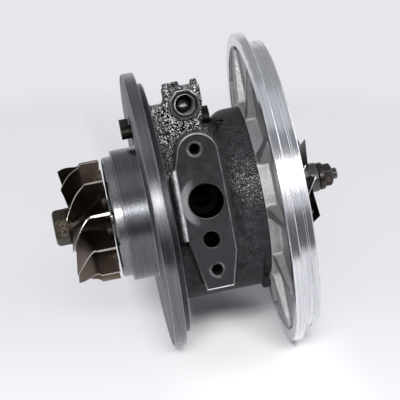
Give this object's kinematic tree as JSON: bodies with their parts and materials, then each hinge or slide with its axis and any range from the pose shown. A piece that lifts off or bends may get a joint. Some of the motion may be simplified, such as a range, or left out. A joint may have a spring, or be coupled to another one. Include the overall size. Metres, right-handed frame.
{
  "type": "turbocharger cartridge",
  "caption": "Turbocharger core: bearing housing with clamping flange and oil pad, ribbed compressor backplate, bladed rotor on floating bushes, and a vane crank.",
  "frame": {"origin": "on the shaft axis, in the plane of the flange face that meets the turbine housing", "axes": "+X along the shaft towards the compressor, -Y out of the drain pad, +Z towards the oil inlet block"},
  "size_m": [0.1177, 0.1274, 0.1274],
  "materials": {
    "cast_housing": "cast, with machined faces",
    "shield_steel": "pressed",
    "ring_iron": "ground",
    "spring_steel": "blackened",
    "bronze": "turned",
    "backplate_aluminium": "cast, with turned rim",
    "seal_rubber": "matte",
    "black_screw": "blackened",
    "crank_bush_steel": "turned",
    "turbine_alloy": "investment cast, ground edges",
    "ground_steel": "ground",
    "wheel_aluminium": "cast, bright edges",
    "nut_steel": "phosphated",
    "crank_steel": "turned",
    "arm_steel": "blackened"
  },
  "bodies": {
    "housing": {"bearing_housing": "cast_housing", "turbine_heat_shield": "shield_steel", "turbine_seal_ring": "ring_iron", "bush_snap_rings": "spring_steel", "thrust_bearing": "bronze", "oil_deflector": "shield_steel", "compressor_backplate": "backplate_aluminium", "backplate_o_ring": "seal_rubber", "backplate_screws": "black_screw", "compressor_seal_ring": "ring_iron", "crank_bush": "crank_bush_steel"},
    "rotor": {"turbine_wheel": "turbine_alloy", "rotor_shaft": "ground_steel", "thrust_collar": "ground_steel", "thrust_ring": "ground_steel", "oil_flinger": "ground_steel", "compressor_wheel": "wheel_aluminium", "shaft_nut": "nut_steel"},
    "turbine_side_bush": {"turbine_bush": "bronze"},
    "compressor_side_bush": {"compressor_bush": "bronze"},
    "vane_crank": {"crank_shaft": "crank_steel", "crank_arm": "arm_steel", "crank_outer_boss": "arm_steel", "crank_seal_ring": "ring_iron"}
  },
  "joints": [
    {"name": "rotor_spin", "type": "hinge", "parent": "housing", "child": "rotor", "pos_m": [0, 0, 0], "axis": [1, 0, 0], "continuous": true},
    {"name": "turbine_bush_spin", "type": "hinge", "parent": "housing", "child": "turbine_side_bush", "pos_m": [0.0126, 0, 0], "axis": [1, 0, 0], "continuous": true},
    {"name": "compressor_bush_spin", "type": "hinge", "parent": "housing", "child": "compressor_side_bush", "pos_m": [0.0304, 0, 0], "axis": [1, 0, 0], "continuous": true},
    {"name": "crank_turn", "type": "hinge", "parent": "housing", "child": "vane_crank", "pos_m": [0, 0, 0.033], "axis": [1, 0, 0], "range_deg": [-22, 22]}
  ]
}
